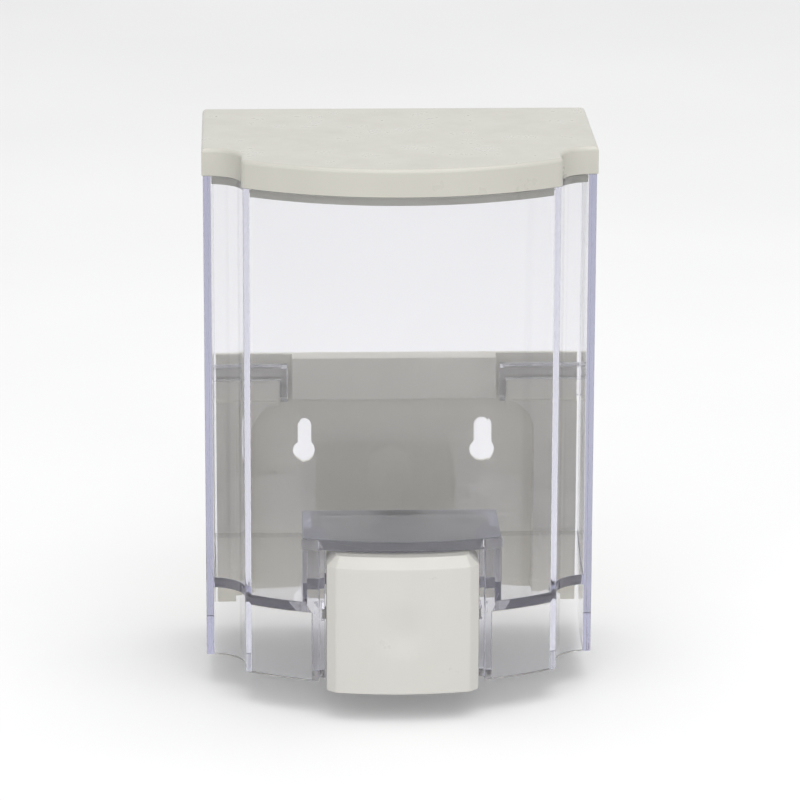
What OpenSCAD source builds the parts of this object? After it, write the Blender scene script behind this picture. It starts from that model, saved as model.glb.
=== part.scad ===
// Wall-mounted bulk soap dispenser: a clear reservoir with a hinged lid and a push-button
// piston pump, hung on a wall bracket. Millimetres, +Z up, +X to the right, -Y out of the wall.
// The origin is on the wall plane, midway between the bracket's two keyholes.

/* [Reservoir] */
// Outer width across the side walls
body_w = 120; // [90:1:170]
// Height of the clear body, bottom edge to rim
body_h = 152.8; // [120:0.1:210]
// Depth of the side walls, from the wall plane to their front edge
side_d = 61; // [50:0.5:80]
// Depth from the side walls' front edge to the corners of the bowed front
shoulder_d = 17; // [12:0.5:24]
// How far the bowed front swells beyond its corners
bow_sag = 14.3; // [6:0.1:22]
// Radius of the hollow cove in each front shoulder
cove_r = 11; // [6:0.5:12]
// Flat front edge of each side wall, beside the cove
cove_land = 1; // [0.5:0.1:3]
// Radius on the upright corners of the bowed front
corner_r = 2.5; // [1:0.1:4]
// Thickness of the reservoir's walls
wall_t = 2.4; // [1.6:0.1:3.2]
// Thickness of the reservoir's floor
floor_t = 3; // [2:0.1:4]
// Height of the floor's top face above the bottom edge
floor_h = 24.6; // [20:0.1:36]
// Gap between the bracket's face and the rear wall of the bay that holds it
bay_gap = 1; // [0.6:0.1:4]

/* [Lid] */
// Height of the lid's skirt
lid_h = 8.6; // [8:0.1:14]
// How far the lid's skirt stands out beyond the reservoir
lid_over = 0.4; // [0:0.1:2]
// Thickness of the lid's top and skirt
lid_t = 2.4; // [1.8:0.1:2.8]
// Thickness of the plug lip that enters the reservoir
lip_t = 1.8; // [1.2:0.1:3]
// How far the plug lip reaches below the skirt
lip_drop = 3; // [1:0.1:6]
// Gap between the plug lip and the reservoir's walls
lip_gap = 0.3; // [0.2:0.05:0.6]
// Gap between the lid's rear edge and the wall plane
lid_wall_gap = 1.3; // [1.3:0.1:3]
// Radius along the lid's rear top edge, which turns towards the wall
lid_rear_r = 2; // [1.6:0.1:3]
// Height of the hinge axis above the lid's bottom edge
hinge_rise = 3.7; // [3.2:0.1:4.4]
// Gap between the wall plane and the lid's top face when the lid stands open
open_gap = 1.5; // [1:0.1:4]
// Radius of each hinge pin
pin_r = 1; // [0.8:0.05:1.2]
// Wall of each hinge post's round head, around its pin
post_wall = 1.1; // [0.8:0.05:1.3]
// Thickness of each hinge post, along the axis
post_t = 3.2; // [2:0.1:5]
// Height of each hinge post, from its foot to the axis
post_h = 14; // [8:0.5:30]

/* [Pump pocket] */
// Room between each edge of the opening and the pocket's side wall
pocket_room = 1.7; // [1:0.1:4]
// Depth from the bowed front to the wet face of the pocket's rear wall
pocket_d = 37.3; // [34:0.1:46]
// Gap between the pump's flange and the pocket's ceiling
roof_gap = 0.5; // [0.4:0.1:6]
// Thickness of the pocket's walls and roof
pocket_t = 2.9; // [2:0.1:4]
// How far each edge of the opening stands outside the guide rail's face
opening_room = 1.8; // [1:0.1:4]
// Distance of the guide rails behind the bowed front, at the opening's edge
rail_set = 3.4; // [2.8:0.1:6]
// Length of the guide rails, front to back
rail_l = 13.2; // [8:0.1:16]

/* [Button] */
// Width of the push button
button_w = 46.4; // [36:0.1:58]
// How far the button's face stands out beyond the bowed front
button_out = 5.7; // [3:0.1:9]
// How far the button hangs below the body's bottom edge
button_low = 1.2; // [0:0.1:4]
// Radius of the button's upright front edges
button_r = 4.5; // [1:0.1:6]
// Thickness of the button's face
face_t = 2.4; // [1.6:0.1:3]
// Thickness of the button's side and top walls
button_t = 1.8; // [1.2:0.1:3]
// Depth of the button, from its face to its rear edge
button_d = 17.5; // [14:0.1:18]
// Travel of the button
stroke = 8; // [5:0.1:8]
// Height of the guide tongue on each side of the button
tongue_h = 3; // [2:0.1:5]
// Length of each guide tongue
tongue_l = 3.2; // [2:0.1:5]
// How far each guide tongue's groove reaches into its rail
groove_d = 1.2; // [0.8:0.1:1.6]

/* [Pump] */
// Gap between the level of the floor's top face and the pump's flange
flange_gap = 0.5; // [0.4:0.1:4]
// Radius of the cylinder bore
bore_r = 5; // [4.6:0.1:6.4]
// Wall thickness of the cylinder and the shank
tube_t = 1.3; // [1:0.05:1.5]
// How far the flange, its gasket and its washer stand out around the shank
flange_rim = 2; // [1.6:0.1:3]
// Thickness of the flange
flange_t = 2.5; // [2:0.1:4]
// Length of the cylinder in front of the flange
nose_l = 6.8; // [6:0.1:8]
// Length of the shank beyond the pocket's rear wall
shank_l = 9; // [8.5:0.1:14]
// Thickness of the gasket and of the washer
gasket_t = 1; // [0.5:0.1:2]
// Wall of the pump nut at its flats
nut_wall = 1; // [0.8:0.1:1.2]
// Thickness of the pump nut
nut_t = 4; // [3:0.1:6]
// Wall of the cylinder cap's skirt
cap_wall = 1.6; // [1:0.1:1.8]
// Thickness of the cylinder cap's end wall
cap_t = 3; // [2.6:0.1:4]
// Length of the cap's skirt over the cylinder
cap_l = 5; // [3:0.1:6]
// Section radius of the rod seal
oring_r = 0.6; // [0.5:0.05:0.8]
// Wall of the hollow plunger rod, around the outlet ball
rod_wall = 0.75; // [0.6:0.05:1]
// Radius of the rod's bore
rod_bore_r = 1.5; // [1.2:0.05:1.6]
// Wall of the piston between the rod and the floor of the seal's groove
groove_wall = 0.8; // [0.6:0.05:1.1]
// Width of the piston seal
seal_w = 1.6; // [1:0.1:2]
// How deep the rod enters the piston
piston_grip = 3; // [2:0.1:3.5]
// Gap left behind the piston at the end of its stroke
piston_rest = 1.2; // [0.6:0.1:2]
// Section radius of the return spring's wire
spring_wire_r = 0.45; // [0.3:0.05:0.5]
// Gap between the return spring and the rod
spring_gap = 0.65; // [0.4:0.05:1]
// Turns of the return spring
spring_turns = 5; // [4:0.5:6]

/* [Nozzle] */
// Wall of the nozzle's block around the rod
block_wall = 2.1; // [1.5:0.1:2.6]
// Length of the nozzle's block
block_l = 10.2; // [9.6:0.1:11]
// How deep the rod enters the nozzle's block
block_grip = 3.6; // [3:0.1:4]
// Wall thickness of the down spout
spout_wall = 1.4; // [1:0.1:1.6]
// Radius of the spout's bore
spout_bore_r = 2; // [1.5:0.1:2.4]
// Distance of the down spout behind the block's front face
spout_set = 0.3; // [0.2:0.1:1]
// Height of the spout's tip above the body's bottom edge
spout_rise = 3; // [1:0.1:10]
// Wall thickness of the button's boss around the block
boss_t = 1.6; // [1.2:0.1:2]

/* [Valves] */
// Radius of the inlet ball
inlet_ball_r = 2.5; // [2.2:0.1:3.2]
// Radius of the inlet valve's seat hole
inlet_seat_r = 1.6; // [1.2:0.1:1.8]
// Travel of the inlet ball
inlet_lift = 1.2; // [0.8:0.1:1.4]
// Distance of the inlet valve's seat inside the end of the shank
seat_depth = 1.5; // [1:0.1:2.5]
// Radius of the hole in the cage that stops the inlet ball
cage_r = 1.9; // [1.6:0.1:2]
// Thickness of the cage
cage_t = 1.2; // [0.8:0.1:2]
// Thickness of the inlet elbow's collar
collar_t = 2; // [1:0.1:3]
// Wall thickness of the inlet elbow's pipe
elbow_wall = 1.7; // [1.2:0.1:2]
// Gap between the inlet elbow's mouth and the floor
elbow_gap = 1; // [0.5:0.1:2]
// Radius of the outlet ball
outlet_ball_r = 2; // [1.8:0.05:2.5]
// Travel of the outlet ball
outlet_lift = 1; // [0.5:0.1:1.2]
// Radial room around the outlet ball in the rod's wide front bore
outlet_room = 0.35; // [0.25:0.05:0.5]
// Length of the outlet spring with the ball at the end of its travel
outlet_spring_l = 2.6; // [2.2:0.1:3]
// Radius of the outlet spring's wire
outlet_wire_r = 0.2; // [0.15:0.05:0.25]
// Turns of the outlet spring
outlet_turns = 4; // [3:0.5:5]
// Radius of the hole that the outlet spring bears around
outlet_hole_r = 1.1; // [0.9:0.1:1.3]

/* [Wall bracket] */
// Height of the keyholes above the reservoir's bottom edge
mount_h = 49.5; // [40:0.1:56]
// Height of the bracket's top edge above the keyholes' wide ends
bracket_rise = 32.2; // [28:0.1:45]
// Gap between the bracket and each side wall of the reservoir
bracket_gap = 1.1; // [0.6:0.1:3]
// Gap between the bracket's upper band and each hanger
band_gap = 1.5; // [0.8:0.1:4]
// Depth of the bracket's raised border
bracket_d = 8; // [7.6:0.1:12]
// Wall thickness of the bracket
bracket_t = 1.8; // [1.4:0.1:1.9]
// Width of the raised border at the sides
border_w = 11.5; // [9:0.1:16]
// Height of the raised border above the sunk panel
border_h = 13.7; // [10:0.1:20]
// Radius of the sunk panel's top corners
panel_r = 11.5; // [4:0.1:16]
// Distance between the two keyholes
keyhole_gap = 57; // [40:0.5:64]
// Radius of each keyhole's wide end
keyhole_r = 3.7; // [3.5:0.05:4.5]
// Half width of each keyhole's slot
slot_r = 2.4; // [1.8:0.05:2.4]
// Height from the keyhole's wide end to the top of its slot's arc centre
slot_h = 8.3; // [5:0.1:10]

/* [Hangers] */
// Width of each hanger
hanger_w = 23.6; // [16:0.1:26]
// Height of each hanger
hanger_h = 10.7; // [9:0.1:12]
// Distance of the hangers' top below the bracket's top edge
hanger_drop = 3.2; // [2:0.1:6]
// Thickness of the hanger's top rib
rib_t = 3.8; // [2:0.1:5]
// Thickness of the hanger's rear lip and end rib
hook_t = 2; // [1.5:0.1:2.2]
// Thickness of the bracket's tongue inside each hanger
tongue_t = 2.6; // [2:0.1:2.8]

/* [Fits] */
// Radial clearance of a pin or rod that turns or slides
run = 0.06; // [0.03:0.01:0.1]
// Gap between pieces that are pressed or screwed together
press = 0.04; // [0.02:0.01:0.05]
// Gap between moving neighbours
slip = 0.4; // [0.3:0.05:0.5]
// Gap between surfaces that rest on each other
touch = 0.1; // [0.05:0.05:0.2]

/* [Hidden] */
$fn = 96;
// Facets of a circle with a radius of several centimetres
bow_fn = 240;
// Overlap that joins solids of one piece, and overshoot of a cut
lap = 0.5;
// Smallest radius left on an inner corner
min_r = 0.3;
// Steps in each turn of a spring, and sides around its wire
turn_steps = 20;
wire_sides = 8;

// Height of a ball's centre above the plane of the round hole that it sits on
function rest_h(ball_r, hole_r) = sqrt(ball_r * ball_r - hole_r * hole_r);

// Body outline
bottom_z = -mount_h;
rim_z = bottom_z + body_h;
floor_z = bottom_z + floor_h;
front_d = side_d + shoulder_d + bow_sag;
cove_x = body_w / 2 - cove_land;
step_x = cove_x - cove_r;
cove_y = -side_d - cove_r;
bow_r = (step_x * step_x + bow_sag * bow_sag) / (2 * bow_sag);
bow_y = bow_r - front_d;
inner_x = body_w / 2 - wall_t;
bay_d = bracket_d + bay_gap;
wet_rear_d = bay_d + wall_t;
// The side walls stop this far short of the wall plane
tail_gap = 0.5;

// Lid and hinge
lid_z = rim_z + touch;
lid_top = lid_z + lid_h;
hinge_z = lid_z + hinge_rise;
hinge_drop = lid_h - hinge_rise;
hinge_d = hinge_drop + open_gap;
// The side walls step down behind the hinge, where the lid's rear edge swings in
notch_d = hinge_d - (hinge_drop - lid_t) + slip / 2;
notch_h = hinge_d - lid_wall_gap - hinge_rise + slip;
post_r = pin_r + post_wall;
post_x = inner_x - post_t;
skirt_in_x = body_w / 2 + lid_over - lid_t;
post_out_x = skirt_in_x - slip;

// Radii about the pump's axis
shank_r = bore_r + tube_t;
flange_r = shank_r + flange_rim;
cap_r = shank_r + cap_wall;
outlet_bore_r = outlet_ball_r + outlet_room;
rod_r = outlet_bore_r + rod_wall;
groove_r = rod_r + groove_wall;
spring_r = rod_r + spring_gap + spring_wire_r;
block_r = rod_r + block_wall;
spout_r = spout_bore_r + spout_wall;
elbow_r = inlet_seat_r + elbow_wall;
pump_z = floor_z + flange_gap + flange_r;

// Pump pocket
ceiling_z = pump_z + flange_r + roof_gap;
roof_z = ceiling_z + pocket_t;
floor_low_z = floor_z - floor_t;
wet_y = -front_d + pocket_d;
dry_y = wet_y - pocket_t;
rail_x = button_w / 2 + slip;
opening_x = rail_x + opening_room;
pocket_in = opening_x + pocket_room;
pocket_x = pocket_in + pocket_t;
rail_y = bow_y - sqrt(bow_r * bow_r - opening_x * opening_x) + rail_set;

// Pump, from the pocket's rear wall
flange_y = dry_y - gasket_t;
nose_y = flange_y - flange_t - nose_l;
shank_y = wet_y + shank_l;
// The inlet ball sits between its seat in the inlet elbow and the cage in the pump body
inlet_seat_y = shank_y - seat_depth;
inlet_ball_y = inlet_seat_y - touch - rest_h(inlet_ball_r, inlet_seat_r);
cage_y = inlet_ball_y - inlet_lift - touch - rest_h(inlet_ball_r, cage_r);
chamber_y = cage_y - cage_t;
// Free play in front of the piston at rest
piston_gap = 0.3;
piston_front_y = nose_y + piston_gap;
piston_rear_y = chamber_y - stroke - piston_rest;
seal_y = (piston_front_y + piston_rear_y) / 2 + piston_gap;
piston_r = bore_r - slip / 2;
rod_rear_y = piston_front_y + piston_grip;
cap_front_y = nose_y - cap_t;
groove_y = nose_y - cap_t / 2;

// Button, nozzle and the pieces on the plunger
button_top = ceiling_z - touch - slip;
button_bottom = bottom_z - button_low;
button_y = -front_d - button_out;
button_in_y = button_y + face_t;
button_rear_y = button_y + button_d;
button_arc_r = bow_r + button_out;
tongue_y = button_rear_y - tongue_l;
tongue_z = (button_top + button_bottom) / 2;
block_front_y = button_in_y + slip;
block_rear_y = block_front_y + block_l;
rod_front_y = block_rear_y - block_grip;
spout_y = block_front_y + spout_r + spout_set;
spout_tip_z = bottom_z + spout_rise;

// The outlet ball sits on the step in the rod's bore
outlet_ball_y = rod_front_y + outlet_spring_l + outlet_lift + outlet_ball_r;
outlet_seat_y = outlet_ball_y + rest_h(outlet_ball_r, rod_bore_r) + touch;

// Bracket and hangers
bracket_x = inner_x - bracket_gap;
bracket_low = bottom_z + tail_gap;
bracket_top = bracket_rise;
panel_x = bracket_x - border_w;
panel_top = bracket_top - border_h;
hanger_x = inner_x - hanger_w;
hanger_top = bracket_top - hanger_drop;
hanger_low = hanger_top - hanger_h;
hook_y = -(bracket_t + slip / 2);
shelf_z = hanger_low - bracket_t - slip;
band_x = hanger_x - band_gap;
catch_y = hook_y - hook_t - slip - tongue_t;
catch_top = hanger_top - rib_t - touch;

// ---- shared shapes ----

// Block with a bowed front of radius r about the body's bow centre and rounded front corners
module bowed(half_w, r, edge_r, back_y) {
    corner_x = half_w - edge_r;
    corner_y = bow_y - sqrt(pow(r - edge_r, 2) - corner_x * corner_x);
    reach = corner_x * r / (r - edge_r);
    intersection() {
        translate([0, bow_y]) circle(r, $fn = bow_fn);
        translate([-reach, bow_y - r - lap]) square([2 * reach, back_y - bow_y + r + lap]);
    }
    translate([-half_w, corner_y]) square([2 * half_w, back_y - corner_y]);
    for (s = [-1, 1]) translate([s * corner_x, corner_y]) circle(edge_r);
}

// Plan of the body, inset by t, from its bowed front to back_d in front of the wall plane
module plan(t, back_d) {
    side_y = t - side_d;
    side_x = body_w / 2 - t;
    translate([-side_x, side_y]) square([2 * side_x, -back_d - side_y]);
    bowed(step_x - t, bow_r - t, max(corner_r - t, min_r), side_y + lap);
    for (s = [-1, 1]) difference() {
        translate([s > 0 ? step_x - t - lap : -min(cove_x, side_x), cove_y])
            square([min(cove_x, side_x) - step_x + t + lap, side_y - cove_y + lap]);
        translate([s * cove_x, cove_y]) circle(cove_r + t);
    }
}

module box(x0, x1, y0, y1, z0, z1) {
    translate([x0, y0, z0]) cube([x1 - x0, y1 - y0, z1 - z0]);
}

module both_sides() {
    children();
    mirror([1, 0, 0]) children();
}

// Children drawn along +Z, turned to lie along +Y from y on the pump's axis
module on_pump_axis(y) {
    translate([0, y, pump_z]) rotate([-90, 0, 0]) children();
}

// Tube on the pump's axis between two depths
module pipe(y0, y1, r, hole_r = 0) {
    on_pump_axis(y0) difference() {
        cylinder(h = y1 - y0, r = r);
        if (hole_r > 0) translate([0, 0, -lap]) cylinder(h = y1 - y0 + 2 * lap, r = hole_r);
    }
}

module bore(y0, y1, r) {
    on_pump_axis(y0) cylinder(h = y1 - y0, r = r);
}

// Round wire wound into a helix along the pump's axis
module coil(y0, y1, r, wire_r, turns) {
    sides = wire_sides;
    count = turns * turn_steps;
    length = y1 - y0 - 2 * wire_r;
    points = [for (i = [0:count]) let (a = 360 * i / turn_steps, z = wire_r + length * i / count)
        for (k = [0:sides - 1]) let (b = 360 * k / sides, q = r + wire_r * cos(b))
            [q * cos(a), q * sin(a), z + wire_r * sin(b)]];
    skin = [for (i = [0:count - 1], k = [0:sides - 1]) let (n = (k + 1) % sides)
        [i * sides + k, (i + 1) * sides + k, (i + 1) * sides + n, i * sides + n]];
    first = [for (k = [0:sides - 1]) k];
    last = [for (k = [sides - 1:-1:0]) count * sides + k];
    on_pump_axis(y0) polyhedron(points, concat(skin, [first], [last]));
}

// ---- wall bracket ----

// Outline of the raised border, inset by t, in X and Z
module border_plan(t) {
    translate([-bracket_x + t, bracket_low + t])
        square([2 * (bracket_x - t), shelf_z + bracket_t - bracket_low - 2 * t]);
    translate([-band_x + t, bracket_low + t])
        square([2 * (band_x - t), bracket_top - bracket_low - 2 * t]);
}

// Outline of the sunk panel, grown by t
module panel_plan(t) {
    r = panel_r + t;
    x = panel_x - panel_r;
    z = panel_top - panel_r;
    translate([-panel_x - t, bracket_low - lap])
        square([2 * (panel_x + t), z - bracket_low + lap]);
    translate([-x, bracket_low]) square([2 * x, z + r - bracket_low]);
    both_sides() translate([x, z]) circle(r);
}

module keyhole_plan() {
    circle(keyhole_r);
    translate([-slot_r, 0]) square([2 * slot_r, slot_h]);
    translate([0, slot_h]) circle(slot_r);
}

// Outline in X and Z, extruded from depth d0 to depth d1 in front of the wall plane
module upright(d0, d1) {
    translate([0, -d0, 0]) rotate([90, 0, 0]) linear_extrude(d1 - d0) children();
}

module wall_bracket() {
    color([0.86, 0.855, 0.82]) union() {
        upright(bracket_d - bracket_t, bracket_d) difference() {
            border_plan(0);
            panel_plan(0);
        }
        upright(0, bracket_d) difference() {
            union() {
                difference() {
                    border_plan(0);
                    border_plan(bracket_t);
                }
                intersection() {
                    border_plan(0);
                    panel_plan(bracket_t);
                }
            }
            panel_plan(0);
        }
        upright(0, bracket_t) difference() {
            intersection() {
                panel_plan(lap);
                border_plan(0);
            }
            both_sides() translate([keyhole_gap / 2, 0]) keyhole_plan();
        }
        both_sides() {
            box(band_x - bracket_t, bracket_x, -bracket_t, 0, shelf_z, bracket_top);
            box(hanger_x + hook_t + slip, bracket_x - slip, catch_y, catch_y + tongue_t,
                shelf_z, catch_top);
        }
    }
}

// ---- clear reservoir ----

module wet_space() {
    difference() {
        translate([0, 0, floor_z]) linear_extrude(rim_z - floor_z + lap) plan(wall_t, wet_rear_d);
        box(-pocket_x, pocket_x, -front_d - lap, wet_y, floor_z - lap, roof_z);
    }
}

// Everything below the floor and behind the rear wall, open to the wall
module dry_space() {
    translate([0, 0, bottom_z - lap]) linear_extrude(floor_low_z - bottom_z + lap)
        plan(wall_t, 0);
    box(-inner_x, inner_x, -bay_d, 0, bottom_z - lap, rim_z + lap);
}

module pump_pocket_space() {
    intersection() {
        box(-pocket_in, pocket_in, -front_d, dry_y, bottom_z - lap, ceiling_z);
        translate([0, 0, bottom_z - lap]) linear_extrude(body_h) plan(wall_t, 0);
    }
    box(-opening_x, opening_x, -front_d - lap, rail_y, bottom_z - lap, ceiling_z);
    bore(dry_y - lap, wet_y + lap, shank_r + press);
}

module guide_rail() {
    difference() {
        box(rail_x, pocket_in + lap / 2, rail_y, rail_y + rail_l, bottom_z, ceiling_z + lap / 2);
        box(rail_x - lap, rail_x + groove_d, tongue_y - slip, rail_y + rail_l + lap,
            tongue_z - tongue_h / 2 - slip, tongue_z + tongue_h / 2 + slip);
    }
    // the web that joins the rail to the front wall, beside the opening
    intersection() {
        box(opening_x, pocket_in, -front_d, rail_y + lap, bottom_z, ceiling_z + lap / 2);
        translate([0, 0, bottom_z]) linear_extrude(body_h) plan(wall_t / 2, 0);
    }
}

module hanger() {
    box(hanger_x, inner_x + lap, -bay_d - lap, hook_y, hanger_top - rib_t, hanger_top);
    box(hanger_x, inner_x + lap, hook_y - hook_t, hook_y, hanger_low, hanger_top);
    box(hanger_x, hanger_x + hook_t, -bay_d - lap, hook_y, hanger_low, hanger_top);
}

module hinge_post() {
    difference() {
        union() {
            box(post_x, inner_x + lap, -hinge_d - post_r, -hinge_d + post_r,
                hinge_z - post_h, rim_z - notch_h);
            box(post_x, post_out_x, -hinge_d - post_r, -hinge_d + post_r,
                hinge_z - post_h, hinge_z);
            translate([post_x, -hinge_d, hinge_z]) rotate([0, 90, 0])
                cylinder(h = post_out_x - post_x, r = post_r);
        }
        translate([post_x - lap, -hinge_d, hinge_z]) rotate([0, 90, 0])
            cylinder(h = post_out_x - post_x + 2 * lap, r = pin_r + press);
    }
}

module reservoir() {
    color([0.85, 0.87, 0.93, 0.35]) union() {
        difference() {
            translate([0, 0, bottom_z]) linear_extrude(body_h) plan(0, tail_gap);
            wet_space();
            dry_space();
            pump_pocket_space();
            box(-body_w, body_w, -notch_d, lap, rim_z - notch_h, rim_z + lap);
        }
        both_sides() {
            guide_rail();
            hanger();
            hinge_post();
        }
    }
}

// ---- lid ----

// Side view of the lid in Y and Z: round about the hinge axis behind it, round at the rear top edge
module lid_side_view() {
    front_y = -front_d - lid_over - lap;
    edge_y = -lid_wall_gap - lid_rear_r;
    translate([front_y, lid_z - lip_drop - lap])
        square([-hinge_d - front_y, lid_h + lip_drop + lap]);
    translate([-hinge_d, hinge_z]) circle(hinge_rise);
    intersection() {
        translate([-hinge_d - lap, lid_top - lid_t]) square([hinge_d + lap, lid_t]);
        union() {
            translate([-hinge_d - lap, lid_z]) square([edge_y + hinge_d + lap, lid_h]);
            translate([edge_y - lap, lid_z]) square([lid_rear_r + lap, lid_h - lid_rear_r]);
            translate([edge_y, lid_top - lid_rear_r]) circle(lid_rear_r);
        }
    }
}

module lid() {
    color([0.87, 0.87, 0.84]) difference() {
        intersection() {
            union() {
                translate([0, 0, lid_z]) linear_extrude(lid_h) difference() {
                    plan(-lid_over, lid_wall_gap);
                    plan(lid_t - lid_over, -lap);
                }
                translate([0, 0, lid_top - lid_t]) linear_extrude(lid_t)
                    plan(-lid_over, lid_wall_gap);
                translate([0, 0, lid_z - lip_drop]) linear_extrude(lid_h + lip_drop - lap)
                    difference() {
                        plan(wall_t + lip_gap, wet_rear_d + lip_gap);
                        plan(wall_t + lip_gap + lip_t, wet_rear_d + lip_gap + lip_t);
                    }
            }
            rotate([90, 0, 90]) translate([0, 0, -body_w]) linear_extrude(2 * body_w)
                lid_side_view();
        }
        translate([-body_w, -hinge_d, hinge_z]) rotate([0, 90, 0])
            cylinder(h = 2 * body_w, r = pin_r + run);
    }
}

module hinge_pin(side) {
    length = body_w / 2 + lid_over - touch - post_x;
    color("silver") translate([side > 0 ? post_x : -post_x - length, -hinge_d, hinge_z])
        rotate([0, 90, 0]) cylinder(h = length, r = pin_r);
}

module hinge_pin_left() {
    hinge_pin(-1);
}

module hinge_pin_right() {
    hinge_pin(1);
}

// ---- pump, fixed pieces ----

module pump_body() {
    color([0.93, 0.93, 0.9]) difference() {
        union() {
            pipe(nose_y, shank_y, shank_r);
            pipe(flange_y - flange_t, flange_y, flange_r);
        }
        bore(nose_y - lap, chamber_y, bore_r);
        bore(cage_y, shank_y + lap, bore_r);
        bore(chamber_y - lap, cage_y + lap, cage_r);
        // flow slots in the cage, too narrow for the ball
        for (turn = [0, 90]) on_pump_axis(chamber_y - lap) rotate([0, 0, turn])
            translate([-inlet_ball_r - slip, -slip, 0])
                cube([2 * (inlet_ball_r + slip), 2 * slip, cage_t + 2 * lap]);
    }
}

module pump_gasket() {
    color([0.2, 0.2, 0.21]) pipe(flange_y, dry_y, flange_r, shank_r + press);
}

module nut_washer() {
    color([0.2, 0.2, 0.21]) pipe(wet_y, wet_y + gasket_t, flange_r, shank_r + press);
}

module pump_nut() {
    color([0.93, 0.93, 0.9]) on_pump_axis(wet_y + gasket_t) difference() {
        rotate([0, 0, 30]) cylinder(h = nut_t, r = (shank_r + nut_wall) / cos(30), $fn = 6);
        translate([0, 0, -lap]) cylinder(h = nut_t + 2 * lap, r = shank_r + press);
    }
}

module cylinder_cap() {
    color([0.93, 0.93, 0.9]) difference() {
        pipe(cap_front_y, nose_y + cap_l, cap_r);
        bore(nose_y, nose_y + cap_l + lap, shank_r + press);
        bore(cap_front_y - lap, nose_y + lap, rod_r + run);
        bore(groove_y - oring_r - press, groove_y + oring_r + press, rod_r + run + 2 * oring_r);
    }
}

module rod_seal() {
    color([0.12, 0.12, 0.12]) on_pump_axis(groove_y) rotate_extrude()
        translate([rod_r + run + oring_r, 0]) circle(oring_r - press / 2, $fn = 32);
}

module inlet_elbow() {
    drop_y = shank_y + collar_t + elbow_r;
    color([0.93, 0.93, 0.9]) difference() {
        union() {
            pipe(cage_y + press, shank_y, bore_r - press);
            pipe(shank_y, shank_y + collar_t, shank_r);
            pipe(shank_y + collar_t - lap, drop_y + elbow_r + slip, elbow_r);
            translate([0, drop_y, floor_z + elbow_gap])
                cylinder(h = pump_z - floor_z - elbow_gap, r = elbow_r - slip / 2);
        }
        bore(cage_y - lap, inlet_seat_y, inlet_ball_r + slip);
        bore(inlet_seat_y - lap, drop_y, inlet_seat_r);
        translate([0, drop_y, floor_z]) cylinder(h = pump_z - floor_z, r = inlet_seat_r);
    }
}

module inlet_ball() {
    color("silver") on_pump_axis(inlet_ball_y) sphere(inlet_ball_r);
}

// ---- button and plunger ----

module push_button() {
    color([0.84, 0.84, 0.81]) difference() {
        union() {
            difference() {
                translate([0, 0, button_bottom]) linear_extrude(button_top - button_bottom)
                    bowed(button_w / 2, button_arc_r, button_r, button_rear_y);
                translate([0, 0, button_bottom - lap])
                    linear_extrude(button_top - button_t - button_bottom + lap)
                        bowed(button_w / 2 - button_t, button_arc_r - face_t,
                            button_r - button_t, button_rear_y + lap);
            }
            intersection() {
                pipe(button_y + face_t / 2, block_rear_y - block_grip, block_r + boss_t);
                translate([0, 0, button_bottom]) linear_extrude(button_top - button_bottom)
                    bowed(button_w / 2, button_arc_r, button_r, button_rear_y);
            }
            both_sides() box(button_w / 2 - button_t / 2, rail_x + groove_d - slip,
                tongue_y, button_rear_y, tongue_z - tongue_h / 2, tongue_z + tongue_h / 2);
        }
        bore(button_in_y + slip / 2, button_rear_y, block_r + press);
        // the spout passes down through the boss
        box(-spout_r - slip, spout_r + slip, button_in_y + slip / 2, button_rear_y + lap,
            button_bottom - lap, pump_z);
    }
}

module plunger_rod() {
    color([0.93, 0.93, 0.9]) difference() {
        pipe(rod_front_y, rod_rear_y, rod_r);
        bore(rod_front_y - lap, rod_rear_y + lap, rod_bore_r);
        bore(rod_front_y - lap, outlet_seat_y, outlet_bore_r);
    }
}

module piston() {
    color([0.9, 0.9, 0.88]) difference() {
        pipe(piston_front_y, piston_rear_y, piston_r, rod_bore_r);
        bore(piston_front_y - lap, rod_rear_y, rod_r + press);
        difference() {
            bore(seal_y - seal_w / 2 - press, seal_y + seal_w / 2 + press, bore_r + lap);
            bore(piston_front_y, piston_rear_y, groove_r);
        }
    }
}

module piston_seal() {
    color([0.12, 0.12, 0.12])
        pipe(seal_y - seal_w / 2, seal_y + seal_w / 2, bore_r - run, groove_r + press);
}

module nozzle() {
    color([0.93, 0.93, 0.9]) difference() {
        union() {
            pipe(block_front_y, block_rear_y, block_r);
            translate([0, spout_y, spout_tip_z])
                cylinder(h = pump_z - spout_tip_z, r = spout_r);
        }
        bore(rod_front_y, block_rear_y + lap, rod_r + press);
        bore(spout_y, rod_front_y + lap, outlet_hole_r);
        translate([0, spout_y, spout_tip_z - lap])
            cylinder(h = pump_z - spout_tip_z + lap, r = spout_bore_r);
    }
}

module outlet_ball() {
    color("silver") on_pump_axis(outlet_ball_y) sphere(outlet_ball_r);
}

module outlet_spring() {
    color("silver") coil(rod_front_y + press, outlet_ball_y - outlet_ball_r - press,
        outlet_ball_r - outlet_wire_r, outlet_wire_r, outlet_turns);
}

module return_spring() {
    color("silver") coil(block_rear_y + press, cap_front_y - press,
        spring_r, spring_wire_r, spring_turns);
}

wall_bracket();
reservoir();
lid();
hinge_pin_left();
hinge_pin_right();
pump_body();
pump_gasket();
nut_washer();
pump_nut();
cylinder_cap();
rod_seal();
inlet_elbow();
inlet_ball();
push_button();
plunger_rod();
piston();
piston_seal();
nozzle();
outlet_ball();
outlet_spring();
return_spring();
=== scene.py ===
"""Looks for a wall-mounted bulk soap dispenser: clear reservoir, hinged lid, push button, piston
pump and wall bracket. Metres, +Z up, -Y out of the wall."""

import math

import bmesh
import bpy
from bpy.props import FloatProperty, FloatVectorProperty, IntProperty, PointerProperty
from mathutils import Matrix, Vector


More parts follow.
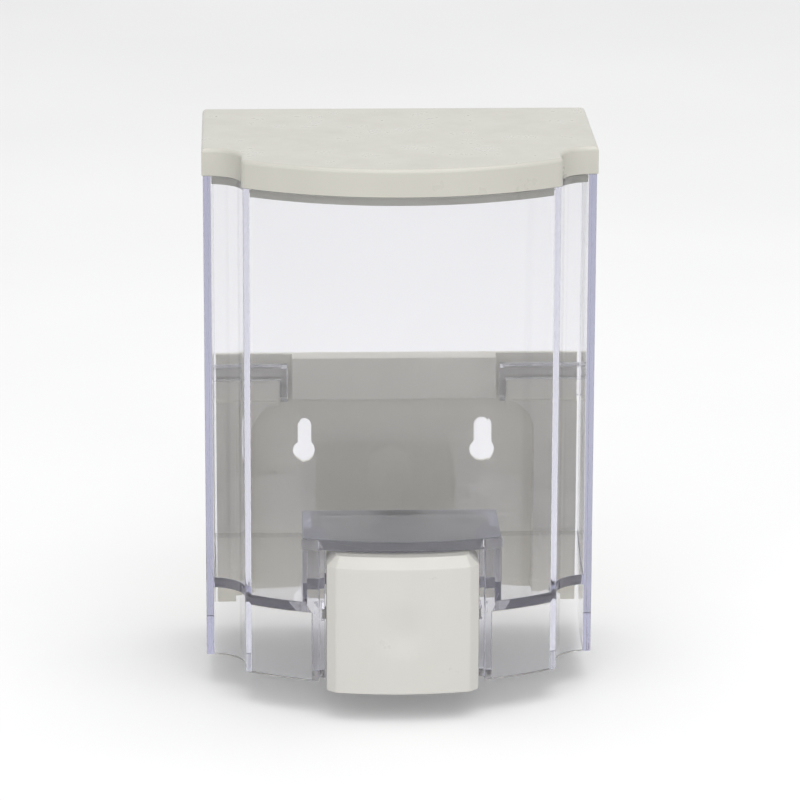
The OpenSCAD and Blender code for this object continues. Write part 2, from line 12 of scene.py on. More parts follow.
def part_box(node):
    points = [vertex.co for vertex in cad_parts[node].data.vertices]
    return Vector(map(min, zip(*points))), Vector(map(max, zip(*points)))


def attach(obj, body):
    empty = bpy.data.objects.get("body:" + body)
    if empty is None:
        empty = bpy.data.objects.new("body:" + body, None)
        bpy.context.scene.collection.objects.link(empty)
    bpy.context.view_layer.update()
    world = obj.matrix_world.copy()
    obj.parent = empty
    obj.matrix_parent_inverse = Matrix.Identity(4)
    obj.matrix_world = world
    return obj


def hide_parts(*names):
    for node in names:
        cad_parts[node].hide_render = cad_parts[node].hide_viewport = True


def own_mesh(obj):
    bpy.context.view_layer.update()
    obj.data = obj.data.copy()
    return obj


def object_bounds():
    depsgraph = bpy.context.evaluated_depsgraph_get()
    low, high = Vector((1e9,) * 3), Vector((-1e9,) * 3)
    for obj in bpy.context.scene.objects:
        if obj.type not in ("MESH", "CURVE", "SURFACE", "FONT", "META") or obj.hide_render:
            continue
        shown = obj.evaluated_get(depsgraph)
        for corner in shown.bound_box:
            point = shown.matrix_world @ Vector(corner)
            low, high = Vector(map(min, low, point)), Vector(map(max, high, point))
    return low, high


bl_info = {
    "name": "Wall Soap Dispenser",
    "version": (1, 0, 0),
    "blender": (4, 5, 0),
    "location": "3D View > Sidebar > Dispenser",
    "description": "Builds the visible pieces of a wall-mounted soap dispenser around its frame",
    "category": "Add Mesh",
}

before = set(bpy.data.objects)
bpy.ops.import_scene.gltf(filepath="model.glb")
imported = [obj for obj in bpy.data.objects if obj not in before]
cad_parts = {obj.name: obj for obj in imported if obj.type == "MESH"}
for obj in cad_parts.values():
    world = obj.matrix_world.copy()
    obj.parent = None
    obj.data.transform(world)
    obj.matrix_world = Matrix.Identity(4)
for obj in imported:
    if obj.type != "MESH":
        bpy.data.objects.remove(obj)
CAD_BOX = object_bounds()
MM = 0.001

# angles in degrees above which an edge is rounded, or shows as a crease
ROUNDED_ABOVE = 28
CREASED_ABOVE = 32
WIRE_CREASED_ABOVE = 50
WIRE_SIDES = 12
# closed turns at each end of a spring
END_TURNS = 0.7
# faces with more corners than this are split before a large opening's border is rounded
WIDE_FACE = 12

LID_TOP_ZONE = 2.39 * MM

# the button's outline in the frame: corner radius, half width and where its front arcs end
BUTTON_R = 4.5 * MM
BUTTON_HALF = 23.2 * MM
BUTTON_ARC_BACK = 6.5 * MM
BUTTON_BOW = 4.0 * MM
BUTTON_FRONT_TURN = 78
HOLLOW_BELOW_MIDDLE = 1.5 * MM
GRID_STEP = 1.2 * MM

# clear plastic that is grained on the roof of the pump's pocket: two corners of its box
FROST_LOW = (-0.0305, -0.0885, -0.0075)
FROST_HIGH = (0.0305, -0.0548, -0.0043)

PUSH_TRAVEL = 8 * MM
VALVE_TRAVEL = 1 * MM

FLOOR_HALF = 6.0
FLOOR_DROP = 9 * MM
WORLD_STRENGTH = 1.02
# brightness of the surroundings from in front of the wall, at 0, to behind it, at 1
WORLD_LEVELS = ((0.0, 2.7), (0.13, 1.75), (0.3, 0.85), (0.5, 0.4), (0.62, 0.82), (1.0, 0.95))
LAMP_AIM = Vector((0, -0.05, 0.03))
# name, place, side and power of each lamp
LAMPS = (
    ("top_softbox", (0.1, -0.25, 0.95), 0.9, 5.4),
    ("left_softbox", (-0.9, -0.75, 0.55), 0.6, 0.5),
)

CAMERA_PLACE = (-0.0492, -1.4318, 0.4082)
CAMERA_YAW, CAMERA_PITCH, CAMERA_ROLL = (math.radians(a) for a in (-2.06, -15.32, 0.16))
SENSOR_WIDTH = 36.0
# focal length as a share of the picture's width
FOCAL_SHARE = 4616.6 / 800.0


# ---- sizes and colours ----


class DispenserShape(bpy.types.PropertyGroup):
    """Edge radii and small surface features of the moulded pieces."""

    lid_edge: FloatProperty(
        name="Lid edge",
        description="Radius along the lid's outer top edge",
        default=1.3 * MM,
        min=0.2 * MM,
        max=2.0 * MM,
        subtype="DISTANCE",
        unit="LENGTH",
    )
    button_edge: FloatProperty(
        name="Button edge",
        description="Width of the sloped band along the button's top edge",
        default=3.0 * MM,
        min=0.3 * MM,
        max=3.2 * MM,
        subtype="DISTANCE",
        unit="LENGTH",
    )
    button_corner: FloatProperty(
        name="Button corners",
        description="Width of the sloped bands along the button's upright front edges",
        default=3.0 * MM,
        min=2.7 * MM,
        max=4.4 * MM,
        subtype="DISTANCE",
        unit="LENGTH",
    )
    small_edge: FloatProperty(
        name="Small edges",
        description="Radius on every other edge of the moulded pieces",
        default=0.25 * MM,
        min=0.1 * MM,
        max=0.28 * MM,
        subtype="DISTANCE",
        unit="LENGTH",
    )
    hollow_radius: FloatProperty(
        name="Finger hollow radius",
        description="Radius of the shallow hollow in the button's face",
        default=11.0 * MM,
        min=4.0 * MM,
        max=16.0 * MM,
        subtype="DISTANCE",
        unit="LENGTH",
    )
    hollow_depth: FloatProperty(
        name="Finger hollow depth",
        description="Depth of the shallow hollow in the button's face",
        default=0.9 * MM,
        min=0.0,
        max=1.2 * MM,
        subtype="DISTANCE",
        unit="LENGTH",
    )
    wire_steps: IntProperty(
        name="Spring steps",
        description="Steps in each turn of a spring",
        default=40,
        min=16,
        max=64,
    )


class DispenserFinish(bpy.types.PropertyGroup):
    """Colours and gloss of the materials."""

    off_white: FloatVectorProperty(
        name="Lid",
        description="Colour of the lid's off-white moulded plastic",
        default=(0.41, 0.402, 0.357),
        subtype="COLOR",
        min=0.0,
        max=1.0,
    )
    button_white: FloatVectorProperty(
        name="Button",
        description="Colour of the push button, a little paler than the lid",
        default=(0.46, 0.45, 0.42),
        subtype="COLOR",
        min=0.0,
        max=1.0,
    )
    bracket_white: FloatVectorProperty(
        name="Bracket",
        description="Colour of the bracket's plastic",
        default=(0.93, 0.90, 0.78),
        subtype="COLOR",
        min=0.0,
        max=1.0,
    )
    pump_white: FloatVectorProperty(
        name="Pump",
        description="Colour of the pump's moulded pieces",
        default=(0.78, 0.78, 0.76),
        subtype="COLOR",
        min=0.0,
        max=1.0,
    )
    clear_tint: FloatVectorProperty(
        name="Clear plastic tint",
        description="Colour that light takes on over a long way through the clear plastic",
        default=(0.34, 0.34, 0.56),
        subtype="COLOR",
        min=0.0,
        max=1.0,
    )
    clear_density: FloatProperty(
        name="Clear plastic density",
        description="How strongly the clear plastic takes up light, per metre",
        default=18.0,
        min=0.0,
        max=200.0,
    )
    rubber: FloatVectorProperty(
        name="Rubber",
        description="Colour of the seals and gaskets",
        default=(0.24, 0.24, 0.25),
        subtype="COLOR",
        min=0.0,
        max=1.0,
    )
    steel: FloatVectorProperty(
        name="Steel",
        description="Colour of the pins, balls and springs",
        default=(0.62, 0.62, 0.63),
        subtype="COLOR",
        min=0.0,
        max=1.0,
    )


def shape():
    return bpy.context.scene.dispenser_shape


def finish():
    return bpy.context.scene.dispenser_finish


# ---- mesh tools ----


def new_object(name, mesh):
    obj = bpy.data.objects.new(name, mesh)
    bpy.context.scene.collection.objects.link(obj)
    return obj


def applied(obj):
    """Replaces the object's mesh with the result of its modifiers."""
    bpy.context.view_layer.update()
    graph = bpy.context.evaluated_depsgraph_get()
    mesh = bpy.data.meshes.new_from_object(obj.evaluated_get(graph))
    obj.modifiers.clear()
    obj.data = mesh
    return obj


def smooth(mesh, angle=CREASED_ABOVE):
    mesh.polygons.foreach_set("use_smooth", [True] * len(mesh.polygons))
    mesh.set_sharp_from_angle(angle=math.radians(angle))


def even_shading(obj):
    """Keeps flat faces flat and lets only the rounded edges catch the light."""
    smooth(obj.data)
    normals = obj.modifiers.new("shading", "WEIGHTED_NORMAL")
    normals.mode = "FACE_AREA"
    normals.keep_sharp = True
    return applied(obj)


def clean_copy(node):
    """The node's mesh with its triangles joined into flat faces."""
    bm = bmesh.new()
    bm.from_mesh(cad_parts[node].data)
    bmesh.ops.remove_doubles(bm, verts=bm.verts, dist=2e-6)
    bmesh.ops.dissolve_limit(
        bm,
        angle_limit=math.radians(0.05),
        use_dissolve_boundaries=False,
        verts=bm.verts,
        edges=bm.edges,
    )
    return bm


def soften(bm, name, width, weight_of=None, segments=2, split=False):
    """Rounds the sharp edges of a mesh, which becomes an object.

    weight_of gives an edge's share of the width from its middle and its faces' normals. split
    keeps a wide face from folding over an opening when its border is rounded.
    """
    if split:
        wide = [f for f in bm.faces if len(f.verts) > WIDE_FACE]
        bmesh.ops.triangulate(bm, faces=wide, ngon_method="BEAUTY")
    weights = bm.edges.layers.float.get(
        "bevel_weight_edge"
    ) or bm.edges.layers.float.new("bevel_weight_edge")
    bm.normal_update()
    for edge in bm.edges:
        edge[weights] = 0.0
        if len(edge.link_faces) != 2:
            continue
        if edge.calc_face_angle(0.0) < math.radians(ROUNDED_ABOVE):
            continue
        share = 1.0
        if weight_of is not None:
            middle = (edge.verts[0].co + edge.verts[1].co) / 2
            share = weight_of(middle, edge.link_faces[0].normal, edge.link_faces[1].normal)
        edge[weights] = share
    mesh = bpy.data.meshes.new(name)
    bm.to_mesh(mesh)
    bm.free()
    smooth(mesh)
    obj = new_object(name, mesh)
    bevel = obj.modifiers.new("edges", "BEVEL")
    bevel.width = width
    bevel.segments = segments
    bevel.limit_method = "WEIGHT"
    bevel.use_clamp_overlap = False
    bevel.miter_outer = "MITER_ARC"
    applied(obj)
    return even_shading(obj)


def wire_helix(name, node, turns, wire, steps, rest_turns):
    """Round wire wound along the pump's axis in the node's box, with closed end turns."""
    low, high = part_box(node)
    radius = (high.x - low.x) / 2 - wire
    centre_z = (high.z + low.z) / 2
    length = high.y - low.y - 2 * wire
    total = turns + 2 * rest_turns
    count = int(total * steps)
    closed = 2.04 * wire * rest_turns
    bm = bmesh.new()
    loops = []
    for i in range(count + 1):
        t = total * i / count
        if t < rest_turns:
            y = closed * t / rest_turns
        elif t > total - rest_turns:
            y = length - closed * (total - t) / rest_turns
        else:
            y = closed + (length - 2 * closed) * (t - rest_turns) / turns
        a = 2 * math.pi * t
        out = Vector((math.cos(a), 0, math.sin(a)))
        centre = out * radius + Vector((0, low.y + wire + y, centre_z))
        along = Vector((-math.sin(a), 0, math.cos(a)))
        side = along.cross(out)
        loops.append(
            [
                bm.verts.new(
                    centre
                    + out * wire * math.cos(2 * math.pi * k / WIRE_SIDES)
                    + side * wire * math.sin(2 * math.pi * k / WIRE_SIDES)
                )
                for k in range(WIRE_SIDES)
            ]
        )
    for near, far in zip(loops, loops[1:]):
        for k in range(WIRE_SIDES):
            n = (k + 1) % WIRE_SIDES
            bm.faces.new((near[k], near[n], far[n], far[k]))
    bm.faces.new(loops[0])
    bm.faces.new(loops[-1][::-1])
    bmesh.ops.recalc_face_normals(bm, faces=bm.faces)
    mesh = bpy.data.meshes.new(name)
    bm.to_mesh(mesh)
    bm.free()
    smooth(mesh, WIRE_CREASED_ABOVE)
    return new_object(name, mesh)


def grid_cut(bm, faces, axis, start, stop, step):
    """Cuts the faces by evenly spaced planes across one axis, so that they can be shaped."""
    value = start
    while value < stop:
        point, normal = Vector(), Vector()
        point[axis], normal[axis] = value, 1.0
        geom = [f for f in faces if f.is_valid]
        edges = {e for f in geom for e in f.edges}
        verts = {v for f in geom for v in f.verts}
        cut = bmesh.ops.bisect_plane(
            bm,
            geom=geom + list(edges) + list(verts),
            plane_co=point,
            plane_no=normal,
            dist=1e-6,
        )
        faces = [g for g in cut["geom"] if isinstance(g, bmesh.types.BMFace)]
        value += step
    return faces


def slope_edges(bm, low, high):
    """Cuts sloped bands along the button's top edge and its upright front edges."""
    centre_x = BUTTON_HALF - BUTTON_R
    centre_y = low.y + BUTTON_ARC_BACK
    band, leg = shape().button_edge, shape().button_corner
    across = (2 * BUTTON_R - leg) / math.sqrt(2)
    bmesh.ops.bisect_plane(
        bm,
        geom=bm.verts[:] + bm.edges[:] + bm.faces[:],
        dist=1e-6,
        plane_co=(0, 0, high.z - band),
        plane_no=(0, 0, 1),
    )
    for v in bm.verts:
        side = math.copysign(1.0, v.co.x)
        dx, dy = abs(v.co.x) - centre_x, v.co.y - centre_y
        span = math.hypot(dx, dy)
        on_arc = dx > 0 and dy < 0 and abs(span - BUTTON_R) < 0.3 * MM
        if v.co.z > high.z - 0.05 * MM:
            if on_arc:
                v.co.x = side * (centre_x + dx * (1 - band / BUTTON_R))
                v.co.y = centre_y + dy * (1 - band / BUTTON_R)
            elif abs(v.co.x) > BUTTON_HALF - 0.1 * MM:
                v.co.x -= side * band
            elif v.co.y < low.y + BUTTON_BOW:
                v.co.y += band
        elif on_arc:
            a = math.atan2(dy, dx)
            limits = (
                across / max(0.2, math.cos(a + math.radians(45))),
                BUTTON_R / max(0.2, math.cos(a)),
                BUTTON_R / max(0.2, math.cos(a + math.radians(BUTTON_FRONT_TURN))),
            )
            scale = min(limits) / BUTTON_R
            v.co.x = side * (centre_x + dx * scale)
            v.co.y = centre_y + dy * scale


def ease(x):
    x = max(0.0, min(1.0, x))
    return x * x * (3 - 2 * x)


# ---- materials ----


class Nodes:
    """Short calls that add and join the shader nodes of one material."""

    def __init__(self, name):
        self.material = bpy.data.materials.new(name)
        self.material.use_nodes = True
        self.tree = self.material.node_tree
        self.shader = self.tree.nodes["Principled BSDF"]
        self.output = self.tree.nodes["Material Output"]
        self.place = self.add("ShaderNodeTexCoord").outputs["Object"]

    def add(self, kind, **settings):
        node = self.tree.nodes.new(kind)
        for key, value in settings.items():
            setattr(node, key, value)
        return node

    def join(self, source, target):
        self.tree.links.new(source, target)

    def noise(self, scale, detail=3.0, rough=0.5, stretch=None):
        node = self.add("ShaderNodeTexNoise")
        node.inputs["Scale"].default_value = scale
        node.inputs["Detail"].default_value = detail
        node.inputs["Roughness"].default_value = rough
        source = self.place
        if stretch:
            mapping = self.add("ShaderNodeMapping")
            mapping.inputs["Scale"].default_value = stretch
            self.join(source, mapping.inputs["Vector"])
            source = mapping.outputs["Vector"]
        self.join(source, node.inputs["Vector"])
        return node.outputs["Fac"]

    def ramp(self, source, stops):
        node = self.add("ShaderNodeValToRGB")
        elements = node.color_ramp.elements
        while len(elements) < len(stops):
            elements.new(0.5)
        for element, (at, colour) in zip(elements, stops):
            element.position = at
            element.color = (*colour, 1.0)
        self.join(source, node.inputs["Fac"])
        return node.outputs["Color"]

    def spread(self, source, low, high):
        node = self.add("ShaderNodeMapRange")
        node.inputs["From Min"].default_value = 0.3
        node.inputs["From Max"].default_value = 0.7
        node.inputs["To Min"].default_value = low
        node.inputs["To Max"].default_value = high
        self.join(source, node.inputs["Value"])
        return node.outputs["Result"]

    def mix(self, factor, first, second, kind="MIX"):
        node = self.add("ShaderNodeMix", data_type="RGBA", blend_type=kind)
        for socket, value in ((0, factor), (6, first), (7, second)):
            if isinstance(value, bpy.types.NodeSocket):
                self.join(value, node.inputs[socket])
            elif isinstance(value, float):
                node.inputs[socket].default_value = value
            else:
                node.inputs[socket].default_value = (*value, 1.0)
        return node.outputs[2]

    def within(self, low, high):
        """1 inside a box of the piece, 0 outside it."""
        split = self.add("ShaderNodeSeparateXYZ")
        self.join(self.place, split.inputs[0])
        result = None
        for axis in range(3):
            middle = self.add("ShaderNodeMath", operation="COMPARE")
            self.join(split.outputs[axis], middle.inputs[0])
            middle.inputs[1].default_value = (low[axis] + high[axis]) / 2
            middle.inputs[2].default_value = (high[axis] - low[axis]) / 2
            if result is None:
                result = middle.outputs[0]
            else:
                both = self.add("ShaderNodeMath", operation="MULTIPLY")
                self.join(result, both.inputs[0])
                self.join(middle.outputs[0], both.inputs[1])
                result = both.outputs[0]
        return result

    def bump(self, source, distance, strength=1.0, under=None):
        node = self.add("ShaderNodeBump")
        node.inputs["Distance"].default_value = distance
        node.inputs["Strength"].default_value = strength
        self.join(source, node.inputs["Height"])
        if under is not None:
            self.join(under, node.inputs["Normal"])
        return node.outputs["Normal"]

    def set(self, **values):
        for key, value in values.items():
            self.shader.inputs[key.replace("_", " ")].default_value = value


def moulded_plastic(name, colour, rough, grain, mottle=0.02, dust=0.015):
    """Opaque moulded plastic: faint flow mottling, orange peel, specks of dust and rubbed gloss."""
    n = Nodes(name)
    c = Vector(colour)
    base = n.ramp(
        n.noise(38.0, 4.0, 0.6),
        [(0.3, tuple(c * (1 - mottle))), (0.7, tuple(c * (1 + mottle * 0.6)))],
    )
    flow = n.ramp(
        n.noise(60.0, 2.0, 0.5, stretch=(1.0, 1.0, 0.18)),
        [(0.35, (0.985, 0.985, 0.98)), (0.65, (1.0, 1.0, 1.0))],
    )
    base = n.mix(1.0, base, flow, "MULTIPLY")
    specks = n.ramp(n.noise(1500.0, 1.0, 0.4), [(0.775, (0, 0, 0)), (0.81, (1, 1, 1))])
    patches = n.ramp(n.noise(70.0, 3.0, 0.6), [(0.5, (0, 0, 0)), (0.68, (dust,) * 3)])
    mask = n.mix(1.0, specks, patches, "MULTIPLY")
    base = n.mix(mask, base, tuple(c * 0.62))
    n.join(base, n.shader.inputs["Base Color"])
    wear = n.spread(n.noise(95.0, 6.0, 0.65), rough - 0.05, rough + 0.08)
    n.join(wear, n.shader.inputs["Roughness"])
    peel = n.bump(n.noise(620.0, 2.0, 0.5), grain)
    sink = n.bump(n.noise(75.0, 1.0, 0.4), 0.00012, 0.5, peel)
    n.join(sink, n.shader.inputs["Normal"])
    n.set(IOR=1.53, Specular_IOR_Level=0.5)
    return n.material


def clear_plastic():
    """Clear moulded plastic: violet in long paths, with faint flow lines and fine scratches."""
    n = Nodes("clear_shell")
    n.set(
        Base_Color=(0.965, 0.965, 0.97, 1.0),
        IOR=1.5,
        Transmission_Weight=1.0,
    )
    scratches = n.ramp(
        n.noise(420.0, 2.0, 0.7, stretch=(1.0, 1.0, 0.05)),
        [(0.6, (0.012,) * 3), (0.74, (0.09,) * 3)],
    )
    haze = n.ramp(n.noise(26.0, 5.0, 0.65), [(0.45, (0.0,) * 3), (0.75, (0.05,) * 3)])
    frost = n.within(FROST_LOW, FROST_HIGH)
    grained = n.mix(frost, (0.0,) * 3, (0.42,) * 3)
    marks = n.mix(1.0, scratches, haze, "ADD")
    n.join(n.mix(1.0, marks, grained, "ADD"), n.shader.inputs["Roughness"])
    ripple = n.bump(n.noise(22.0, 1.0, 0.4, stretch=(1.0, 1.0, 0.4)), 0.0002, 0.35)
    fine = n.bump(n.noise(500.0, 2.0, 0.5), 0.000004, 0.4, ripple)
    n.join(fine, n.shader.inputs["Normal"])
    take_up = n.add("ShaderNodeVolumeAbsorption")
    take_up.inputs["Color"].default_value = (*finish().clear_tint, 1.0)
    take_up.inputs["Density"].default_value = finish().clear_density
    n.join(take_up.outputs["Volume"], n.output.inputs["Volume"])
    return n.material


def soft_rubber():
    n = Nodes("seal_rubber")
    c = Vector(finish().rubber)
    n.join(
        n.ramp(n.noise(300.0, 4.0, 0.6), [(0.35, tuple(c * 0.8)), (0.7, tuple(c * 1.6))]),
        n.shader.inputs["Base Color"],
    )
    n.join(n.spread(n.noise(700.0, 3.0), 0.5, 0.72), n.shader.inputs["Roughness"])
    n.join(n.bump(n.noise(2600.0, 2.0), 0.00002), n.shader.inputs["Normal"])
    n.set(IOR=1.5)
    return n.material


def drawn_steel():
    n = Nodes("drawn_steel")
    c = Vector(finish().steel)
    streaks = n.noise(900.0, 4.0, 0.6, stretch=(0.08, 1.0, 1.0))
    n.join(
        n.ramp(streaks, [(0.3, tuple(c * 0.85)), (0.7, tuple(c * 1.1))]),
        n.shader.inputs["Base Color"],
    )
    n.join(n.spread(streaks, 0.16, 0.3), n.shader.inputs["Roughness"])
    n.join(n.bump(streaks, 0.000006), n.shader.inputs["Normal"])
    n.set(Metallic=1.0)
    return n.material


FINISHES = {
    "clear_plastic": ("clear_shell", clear_plastic),
    "off_white_plastic": (
        "off_white_shell",
        lambda: moulded_plastic("off_white_shell", finish().off_white, 0.3, 0.000011),
    ),
    "bracket_plastic": (
        "bracket_shell",
        lambda: moulded_plastic("bracket_shell", finish().bracket_white, 0.42, 0.00002, 0.05, 0.4),
    ),
    "pump_plastic": (
        "pump_shell",
        lambda: moulded_plastic("pump_shell", finish().pump_white, 0.34, 0.00001, 0.02, 0.0),
    ),
    "black_rubber": ("seal_rubber", soft_rubber),
    "steel": ("drawn_steel", drawn_steel),
}


def material(slot):
    """The finish for one of the record's material slots, made once."""
    name, make = FINISHES[slot]
    return bpy.data.materials.get(name) or make()


def dress(obj, slot, body, node, finish_of=None):
    """Gives the piece its finish and its body, and hides the node that it stands for."""
    obj.data.materials.clear()
    obj.data.materials.append(finish_of or material(slot))
    obj.data.polygons.foreach_set("material_index", [0] * len(obj.data.polygons))
    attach(obj, body)
    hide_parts(node)
    return obj


# ---- pieces ----


class DISPENSER_OT_reservoir(bpy.types.Operator):
    """Clear reservoir with softened mould edges"""

    bl_idname = "dispenser.reservoir"
    bl_label = "Reservoir"

    def execute(self, context):
        body = soften(
            clean_copy("reservoir"),
            "clear_reservoir",
            shape().small_edge,
            split=True,
        )
        dress(body, "clear_plastic", "tank", "reservoir")
        return {"FINISHED"}


class DISPENSER_OT_lid(bpy.types.Operator):
    """Hinged lid with a rounded outer top edge"""

    bl_idname = "dispenser.lid"
    bl_label = "Lid"

    def execute(self, context):
        low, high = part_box("lid")
        share = shape().small_edge / shape().lid_edge

        def weight(middle, first, second):
            return 1.0 if middle.z > high.z - LID_TOP_ZONE else share

        lid = soften(clean_copy("lid"), "lid_cover", shape().lid_edge, weight, 4)
        dress(lid, "off_white_plastic", "lid", "lid")
        return {"FINISHED"}


class DISPENSER_OT_button(bpy.types.Operator):
    """Push button with sloped edges and a finger hollow in its bowed face"""

    bl_idname = "dispenser.button"
    bl_label = "Push button"

    def execute(self, context):
        low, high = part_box("push_button")
        middle_z = (low.z + high.z) / 2 - HOLLOW_BELOW_MIDDLE

        def weight(middle, first, second):
            upright = max(abs(first.z), abs(second.z)) < 0.1
            corner = abs(middle.x) > 17.5 * MM and middle.y < low.y + 7.0 * MM
            return 0.0 if upright and corner else 1.0

        bm = clean_copy("push_button")
        slope_edges(bm, low, high)
        button = soften(bm, "push_button_cap", shape().small_edge, weight)
        bm = bmesh.new()
        bm.from_mesh(button.data)
        face = [
            f
            for f in bm.faces
            if f.normal.y < -0.8
            and f.calc_center_median().y < low.y + 3.2 * MM
            and abs(f.calc_center_median().x) < 20 * MM
            and f.calc_area() > 8e-6
        ]
        top = high.z - shape().button_edge - 1 * MM
        face = grid_cut(bm, face, 2, low.z + 1 * MM, top, GRID_STEP)
        grid_cut(bm, face, 0, -18 * MM, 18 * MM, GRID_STEP)
        for v in bm.verts:
            if v.co.y > low.y + 2.2 * MM:
                continue
            span = math.hypot(v.co.x, v.co.z - middle_z) / shape().hollow_radius
            v.co.y += shape().hollow_depth * (1 - ease(span))
        bm.to_mesh(button.data)
        bm.free()
        even_shading(button)
        paler = moulded_plastic("button_shell", finish().button_white, 0.32, 0.000012)
        dress(button, "off_white_plastic", "plunger", "push_button", paler)
        return {"FINISHED"}


class DISPENSER_OT_bracket(bpy.types.Operator):
    """Wall bracket with softened edges"""

    bl_idname = "dispenser.bracket"
    bl_label = "Wall bracket"

    def execute(self, context):
        bracket = soften(clean_copy("wall_bracket"), "wall_bracket_plate", shape().small_edge)
        dress(bracket, "bracket_plastic", "bracket", "wall_bracket")
        return {"FINISHED"}


class DISPENSER_OT_pump(bpy.types.Operator):
    """Fixed pieces of the pump: body, nut, cap, elbow, gasket, washer and rod seal"""

    bl_idname = "dispenser.pump"
    bl_label = "Pump"

    def execute(self, context):
        for node, slot in (
            ("pump_body", "pump_plastic"),
            ("pump_nut", "pump_plastic"),
            ("cylinder_cap", "pump_plastic"),
            ("inlet_elbow", "pump_plastic"),
            ("pump_gasket", "black_rubber"),
            ("nut_washer", "black_rubber"),
            ("rod_seal", "black_rubber"),
        ):
            piece = soften(clean_copy(node), node + "_piece", 0.18 * MM)
            dress(piece, slot, "tank", node)
        return {"FINISHED"}


class DISPENSER_OT_plunger(bpy.types.Operator):
    """Moving pieces behind the button: rod, piston, seal and nozzle"""

    bl_idname = "dispenser.plunger"
    bl_label = "Plunger and nozzle"

    def execute(self, context):
        for node, slot in (
            ("plunger_rod", "pump_plastic"),
            ("piston", "pump_plastic"),
            ("piston_seal", "black_rubber"),
            ("nozzle", "pump_plastic"),
        ):
            piece = soften(clean_copy(node), node + "_piece", 0.15 * MM, split=True)
            dress(piece, slot, "plunger", node)
        return {"FINISHED"}


class DISPENSER_OT_metal(bpy.types.Operator):
    """Hinge pins, valve balls and both springs"""

    bl_idname = "dispenser.metal"
    bl_label = "Pins, balls and springs"

    def execute(self, context):
        for node, body in (("hinge_pin_left", "tank"), ("hinge_pin_right", "tank")):
            pin = soften(clean_copy(node), node + "_steel", 0.2 * MM, segments=3)
            dress(pin, "steel", body, node)
        for node in ("inlet_ball", "outlet_ball"):
            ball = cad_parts[node]
            ball.data.materials.clear()
            ball.data.materials.append(material("steel"))
        for node, body, turns, wire, joint, travel in (
            ("return_spring", "tank", 3.6, 0.45 * MM, "button_slide", PUSH_TRAVEL),
            ("outlet_spring", "plunger", 2.6, 0.2 * MM, "outlet_ball_lift", VALVE_TRAVEL),
        ):
            steps = shape().wire_steps
            spring = wire_helix(node + "_wire", node, turns, wire, steps, END_TURNS)
            dress(spring, "steel", body, node)
            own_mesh(spring)
        return {"FINISHED"}


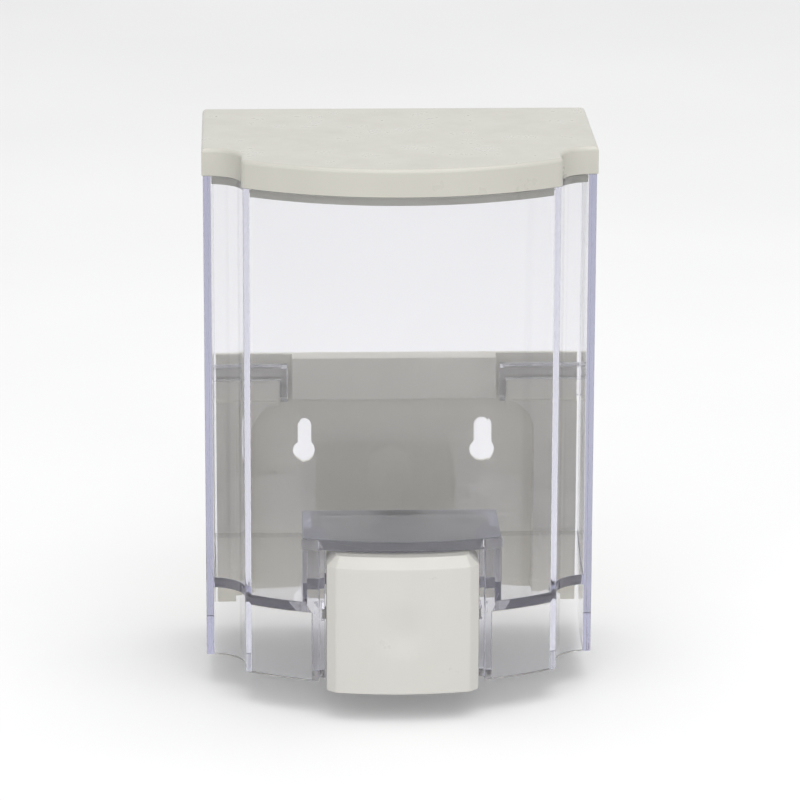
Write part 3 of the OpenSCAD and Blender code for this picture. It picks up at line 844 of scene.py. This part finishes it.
class DISPENSER_OT_stage(bpy.types.Operator):
    """Pale floor, soft light and the camera"""

    bl_idname = "dispenser.stage"
    bl_label = "Stage"

    def execute(self, context):
        scene = context.scene
        scene.view_settings.view_transform = "Standard"
        scene.view_settings.look = "None"
        # light crosses many clear walls before it leaves the reservoir
        scene.cycles.max_bounces = 28
        scene.cycles.transmission_bounces = 28
        scene.cycles.glossy_bounces = 12

        n = Nodes("pale_floor")
        n.join(
            n.ramp(n.noise(6.0, 3.0), [(0.3, (0.69,) * 3), (0.7, (0.71,) * 3)]),
            n.shader.inputs["Base Color"],
        )
        n.set(Roughness=0.9, Emission_Color=(1.0, 1.0, 1.0, 1.0), Emission_Strength=0.10)
        mesh = bpy.data.meshes.new("floor")
        half, z = FLOOR_HALF, CAD_BOX[0][2] - FLOOR_DROP
        mesh.from_pydata(
            [(-half, -half, z), (half, -half, z), (half, half, z), (-half, half, z)],
            [],
            [(0, 1, 2, 3)],
        )
        mesh.materials.append(n.material)
        new_object("floor", mesh)

        world = bpy.data.worlds.new("studio")
        scene.world = world
        world.use_nodes = True
        tree = world.node_tree
        place = tree.nodes.new("ShaderNodeTexCoord")
        split = tree.nodes.new("ShaderNodeSeparateXYZ")
        tree.links.new(place.outputs["Generated"], split.inputs["Vector"])
        ramp = tree.nodes.new("ShaderNodeValToRGB")
        while len(ramp.color_ramp.elements) < len(WORLD_LEVELS):
            ramp.color_ramp.elements.new(0.5)
        for element, (at, level) in zip(ramp.color_ramp.elements, WORLD_LEVELS):
            element.position = at
            element.color = (level, level, level * 1.005, 1.0)
        shift = tree.nodes.new("ShaderNodeMapRange")
        shift.inputs["From Min"].default_value = -1.0
        shift.inputs["From Max"].default_value = 1.0
        tree.links.new(split.outputs["Y"], shift.inputs["Value"])
        tree.links.new(shift.outputs["Result"], ramp.inputs["Fac"])
        tree.links.new(ramp.outputs["Color"], tree.nodes["Background"].inputs["Color"])
        tree.nodes["Background"].inputs["Strength"].default_value = WORLD_STRENGTH

        for name, place, size, power in LAMPS:
            light = bpy.data.lights.new(name, "AREA")
            light.shape = "SQUARE"
            light.size = size
            light.energy = power
            lamp = bpy.data.objects.new(name, light)
            scene.collection.objects.link(lamp)
            lamp.location = place
            aim = LAMP_AIM - Vector(place)
            lamp.rotation_euler = aim.to_track_quat("-Z", "Y").to_euler()

        lens = bpy.data.cameras.new("camera")
        lens.sensor_width = SENSOR_WIDTH
        lens.lens = FOCAL_SHARE * SENSOR_WIDTH
        lens.clip_start = 0.05
        lens.clip_end = 40.0
        camera = bpy.data.objects.new("camera", lens)
        scene.collection.objects.link(camera)
        camera.matrix_world = (
            Matrix.Translation(CAMERA_PLACE)
            @ Matrix.Rotation(CAMERA_YAW, 4, "Z")
            @ Matrix.Rotation(math.pi / 2 + CAMERA_PITCH, 4, "X")
            @ Matrix.Rotation(CAMERA_ROLL, 4, "Z")
        )
        scene.camera = camera
        return {"FINISHED"}


class DISPENSER_PT_panel(bpy.types.Panel):
    """Buttons that build the dispenser, and its sizes and colours"""

    bl_idname = "DISPENSER_PT_panel"
    bl_label = "Soap Dispenser"
    bl_space_type = "VIEW_3D"
    bl_region_type = "UI"
    bl_category = "Dispenser"

    def draw(self, context):
        layout = self.layout
        for group in (context.scene.dispenser_shape, context.scene.dispenser_finish):
            column = layout.column(align=True)
            for key in group.__annotations__:
                column.prop(group, key)
        column = layout.column(align=True)
        for operator in OPERATORS:
            column.operator(operator.bl_idname)


OPERATORS = (
    DISPENSER_OT_stage,
    DISPENSER_OT_reservoir,
    DISPENSER_OT_lid,
    DISPENSER_OT_button,
    DISPENSER_OT_bracket,
    DISPENSER_OT_pump,
    DISPENSER_OT_plunger,
    DISPENSER_OT_metal,
)
CLASSES = (DispenserShape, DispenserFinish, *OPERATORS, DISPENSER_PT_panel)


def register():
    for item in CLASSES:
        bpy.utils.register_class(item)
    bpy.types.Scene.dispenser_shape = PointerProperty(type=DispenserShape)
    bpy.types.Scene.dispenser_finish = PointerProperty(type=DispenserFinish)


def unregister():
    del bpy.types.Scene.dispenser_finish
    del bpy.types.Scene.dispenser_shape
    for item in reversed(CLASSES):
        bpy.utils.unregister_class(item)


def main():
    register()
    for operator in OPERATORS:
        group, name = operator.bl_idname.split(".")
        getattr(getattr(bpy.ops, group), name)()


if __name__ == "__main__":
    main()
